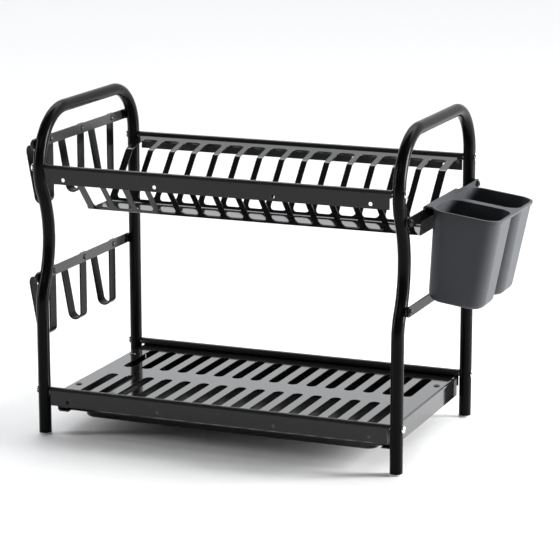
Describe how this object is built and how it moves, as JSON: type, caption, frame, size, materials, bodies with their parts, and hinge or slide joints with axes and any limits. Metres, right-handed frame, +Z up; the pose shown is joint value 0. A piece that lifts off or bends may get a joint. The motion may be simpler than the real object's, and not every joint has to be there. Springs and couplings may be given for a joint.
{
  "type": "dish drying rack",
  "caption": "Two-tier black metal dish drying rack with a slotted plate rack, drain board, pull-out drip tray, side hooks for mugs and a hang-on grey utensil cup.",
  "frame": {"origin": "on the floor, under the middle of the whole rack's bounding box, hooks and cup included", "axes": "+X along the rack from the hook side to the cup side, +Y from the front rail to the rear rail, +Z up"},
  "size_m": [0.6252, 0.2916, 0.423],
  "materials": {
    "black_powder_coat": "satin black powder coat",
    "black_gloss_coat": "glossy black coating",
    "bright_steel": "bright zinc or nickel plate",
    "black_steel": "blackened steel",
    "dark_grey_plastic": "satin moulded plastic",
    "black_plastic": "satin black plastic",
    "grey_foot_plastic": "translucent grey plastic"
  },
  "bodies": {
    "frame": {"bar_screw_lower_front_left": "black_steel", "bar_screw_lower_front_right": "black_steel", "bar_screw_lower_rear_left": "black_steel", "bar_screw_lower_rear_right": "black_steel", "bar_screw_upper_front_left": "black_steel", "bar_screw_upper_front_right": "black_steel", "bar_screw_upper_rear_left": "black_steel", "bar_screw_upper_rear_right": "black_steel", "bar_spacer_lower_front_left": "black_plastic", "bar_spacer_lower_front_right": "black_plastic", "bar_spacer_lower_rear_left": "black_plastic", "bar_spacer_lower_rear_right": "black_plastic", "bar_spacer_upper_front_left": "black_plastic", "bar_spacer_upper_front_right": "black_plastic", "bar_spacer_upper_rear_left": "black_plastic", "bar_spacer_upper_rear_right": "black_plastic", "board_screw_front_left": "black_steel", "board_screw_front_right": "black_steel", "board_screw_rear_left": "black_steel", "board_screw_rear_right": "black_steel", "drain_board": "black_gloss_coat", "foot_cap_front_left": "grey_foot_plastic", "foot_cap_front_right": "grey_foot_plastic", "foot_cap_rear_left": "grey_foot_plastic", "foot_cap_rear_right": "grey_foot_plastic", "frame_bolt_lower_front_left": "bright_steel", "frame_bolt_lower_front_right": "bright_steel", "frame_bolt_lower_rear_left": "bright_steel", "frame_bolt_lower_rear_right": "bright_steel", "frame_bolt_upper_front_left": "bright_steel", "frame_bolt_upper_front_right": "bright_steel", "frame_bolt_upper_rear_left": "bright_steel", "frame_bolt_upper_rear_right": "bright_steel", "left_lower_hook_bar": "black_powder_coat", "left_side_tube": "black_powder_coat", "left_upper_hook_bar": "black_powder_coat", "lower_front_rail": "black_powder_coat", "lower_hook_front": "black_powder_coat", "lower_hook_middle": "black_powder_coat", "lower_hook_rear": "black_powder_coat", "lower_hook_rivet_front": "black_steel", "lower_hook_rivet_middle": "black_steel", "lower_hook_rivet_rear": "black_steel", "lower_rear_rail": "black_powder_coat", "plate_rack": "black_gloss_coat", "right_lower_bar": "black_powder_coat", "right_side_tube": "black_powder_coat", "right_upper_bar": "black_powder_coat", "tray_runner_left": "black_plastic", "tray_runner_right": "black_plastic", "upper_front_rail": "black_powder_coat", "upper_hook_front": "black_powder_coat", "upper_hook_middle": "black_powder_coat", "upper_hook_rear": "black_powder_coat", "upper_hook_rivet_front": "black_steel", "upper_hook_rivet_middle": "black_steel", "upper_hook_rivet_rear": "black_steel", "upper_rear_rail": "black_powder_coat"},
    "tray": {"drip_tray": "black_plastic"},
    "cup": {"utensil_cup": "dark_grey_plastic"}
  },
  "joints": [
    {"name": "tray_slide", "type": "slide", "parent": "frame", "child": "tray", "axis": [0, -1, 0], "range_m": [0, 0.262]},
    {"name": "cup_lift", "type": "slide", "parent": "frame", "child": "cup", "axis": [0, 0, 1], "range_m": [0, 0.05]}
  ]
}
